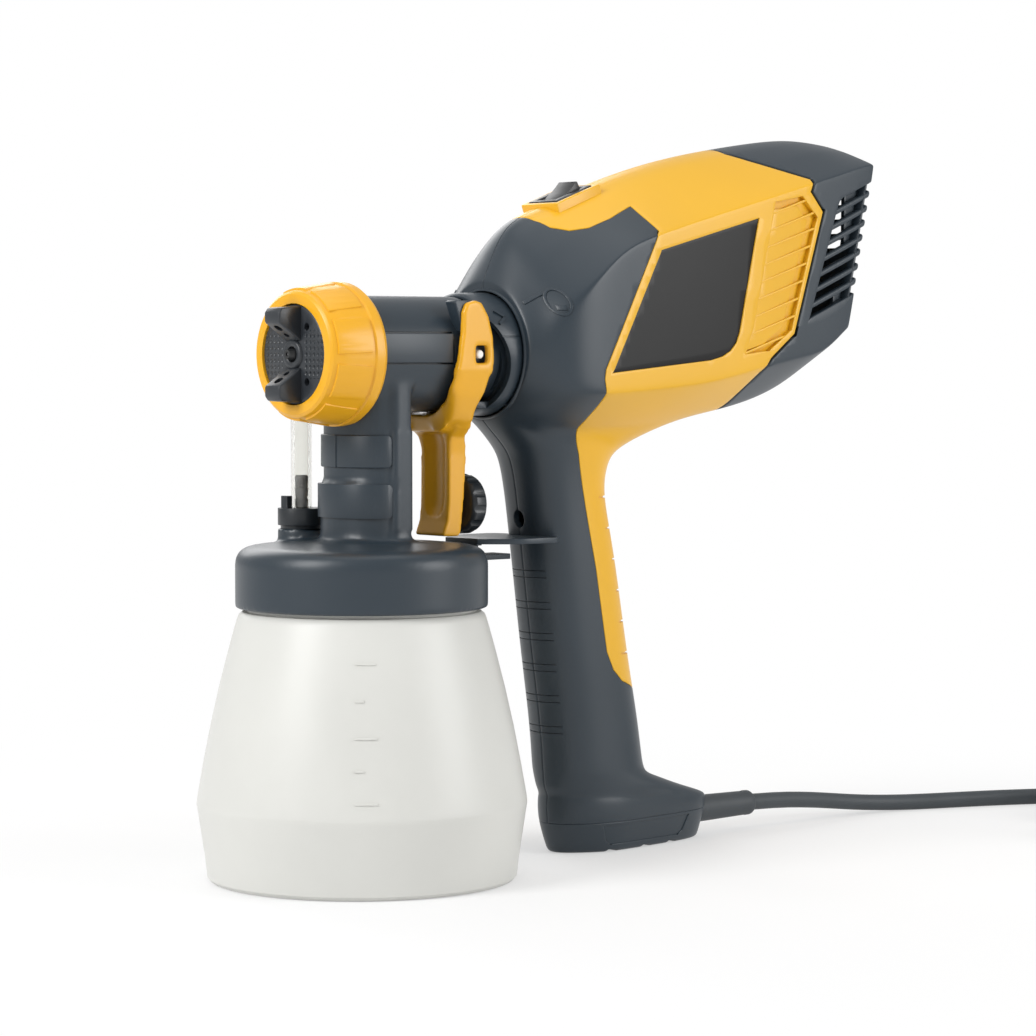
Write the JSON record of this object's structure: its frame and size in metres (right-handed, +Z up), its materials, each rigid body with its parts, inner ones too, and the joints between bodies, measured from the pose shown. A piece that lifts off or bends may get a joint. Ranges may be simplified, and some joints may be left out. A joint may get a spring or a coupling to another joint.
{
  "type": "handheld turbine paint sprayer",
  "caption": "Handheld electric turbine paint sprayer: a motor housing with a hanging grip, and a bayonet spray head with trigger, air cap and screw-on paint cup.",
  "frame": {"origin": "centre of the paint cup's flat base, on the surface the sprayer stands on", "axes": "+Z up along the cup's axis; the nozzle sprays towards -X; grip and motor stand on the +X side; +Y completes the frame"},
  "size_m": [0.4559, 0.206, 0.2712],
  "materials": {
    "milky_plastic": "translucent milky polypropylene",
    "dark_plastic": "dark blue-grey moulded plastic, fine texture",
    "amber_plastic": "warm yellow moulded plastic, satin",
    "deep_plastic": "near-black glass-filled plastic",
    "black_plastic": "black moulded plastic",
    "clear_plastic": "clear flexible tube",
    "soft_seal": "soft rubber",
    "white_plastic": "white moulded plastic",
    "steel": "plain steel",
    "motor_steel": "zinc-plated steel can",
    "foam": "open-cell foam",
    "cord_rubber": "dark grey rubber sheath",
    "plated_brass": "nickel-plated brass",
    "nozzle_metal": "turned stainless steel"
  },
  "bodies": {
    "gun": {"socket_ring": "deep_plastic", "front_shell_left": "dark_plastic", "front_shell_right": "dark_plastic", "rear_shell_left": "amber_plastic", "rear_shell_right": "amber_plastic", "label_left": "black_plastic", "label_right": "black_plastic", "switch_bezel": "amber_plastic", "switch_body": "black_plastic", "finger_guard": "dark_plastic", "base_cap": "dark_plastic", "filter_frame": "deep_plastic", "air_filter": "foam", "fan_case": "deep_plastic", "motor": "motor_steel", "housing_screws": "steel", "base_screws": "steel", "cord_clamp": "black_plastic", "strain_relief": "cord_rubber", "power_cord": "cord_rubber", "cord_coil": "cord_rubber", "plug": "cord_rubber", "plug_pins": "plated_brass"},
    "spray_head": {"attachment_body": "dark_plastic", "container_seal": "soft_seal", "valve_membrane": "soft_seal", "vent_tube": "clear_plastic", "fluid_nozzle": "nozzle_metal", "nozzle_seal": "soft_seal", "needle_gland": "soft_seal", "needle_spring": "steel", "pivot_pins": "steel", "spigot_ring": "soft_seal"},
    "paint_cup": {"cup": "milky_plastic"},
    "pickup": {"suction_tube": "clear_plastic"},
    "vent_valve": {"valve_cap": "deep_plastic"},
    "nut": {"union_nut": "amber_plastic"},
    "cap": {"air_cap": "deep_plastic"},
    "trigger_lever": {"trigger": "amber_plastic"},
    "needle_rod": {"needle": "steel", "needle_pin": "white_plastic"},
    "flow_knob": {"volume_knob": "deep_plastic", "knob_screw": "deep_plastic"},
    "cover": {"rear_cover": "dark_plastic"},
    "rocker": {"switch_rocker": "black_plastic"},
    "rotor": {"motor_shaft": "steel", "turbine_fan": "black_plastic"}
  },
  "joints": [
    {"name": "bayonet_turn", "type": "hinge", "parent": "gun", "child": "spray_head", "pos_m": [0.065, 0, 0.187], "axis": [1, 0, 0], "range_deg": [0, 45]},
    {"name": "cup_unscrew", "type": "hinge", "parent": "spray_head", "child": "paint_cup", "pos_m": [0, 0, 0.1], "axis": [0, 0, 1], "range_deg": [0, 270]},
    {"name": "pickup_turn", "type": "hinge", "parent": "spray_head", "child": "pickup", "pos_m": [-0.002, 0, 0.118], "axis": [0, 0, 1], "range_deg": [-180, 180]},
    {"name": "valve_cap_turn", "type": "hinge", "parent": "spray_head", "child": "vent_valve", "pos_m": [-0.0035, 0.0304, 0.127], "axis": [0, 0, 1], "range_deg": [0, 90]},
    {"name": "nut_unscrew", "type": "hinge", "parent": "spray_head", "child": "nut", "pos_m": [-0.015, 0, 0.187], "axis": [1, 0, 0], "range_deg": [0, 270]},
    {"name": "air_cap_turn", "type": "hinge", "parent": "spray_head", "child": "cap", "pos_m": [-0.0303, 0, 0.187], "axis": [1, 0, 0], "range_deg": [-90, 90]},
    {"name": "trigger_pull", "type": "hinge", "parent": "spray_head", "child": "trigger_lever", "pos_m": [0.0325, 0, 0.2], "axis": [0, -1, 0], "range_deg": [0, 8.5], "stiffness_Nm_per_rad": 1.5, "springref_deg": -8.59},
    {"name": "needle_slide", "type": "slide", "parent": "spray_head", "child": "needle_rod", "axis": [1, 0, 0], "range_m": [0, 0.00195], "deforming": ["needle_spring"]},
    {"name": "flow_knob_turn", "type": "hinge", "parent": "trigger_lever", "child": "flow_knob", "pos_m": [0.047, 0, 0.1325], "axis": [1, 0, 0], "range_deg": [0, 270]},
    {"name": "cover_slide", "type": "slide", "parent": "gun", "child": "cover", "axis": [1, 0, 0], "range_m": [0, 0.05]},
    {"name": "switch_rock", "type": "hinge", "parent": "gun", "child": "rocker", "pos_m": [0.09603, 0, 0.24358], "axis": [0, 1, 0], "range_deg": [0, 20]},
    {"name": "rotor_spin", "type": "hinge", "parent": "gun", "child": "rotor", "pos_m": [0.12, 0, 0.206], "axis": [0.9781, 0, 0.2079], "continuous": true}
  ],
  "couplings": [
    {"joint": "needle_slide", "follows": "trigger_pull", "m_per_rad": 0.013}
  ]
}
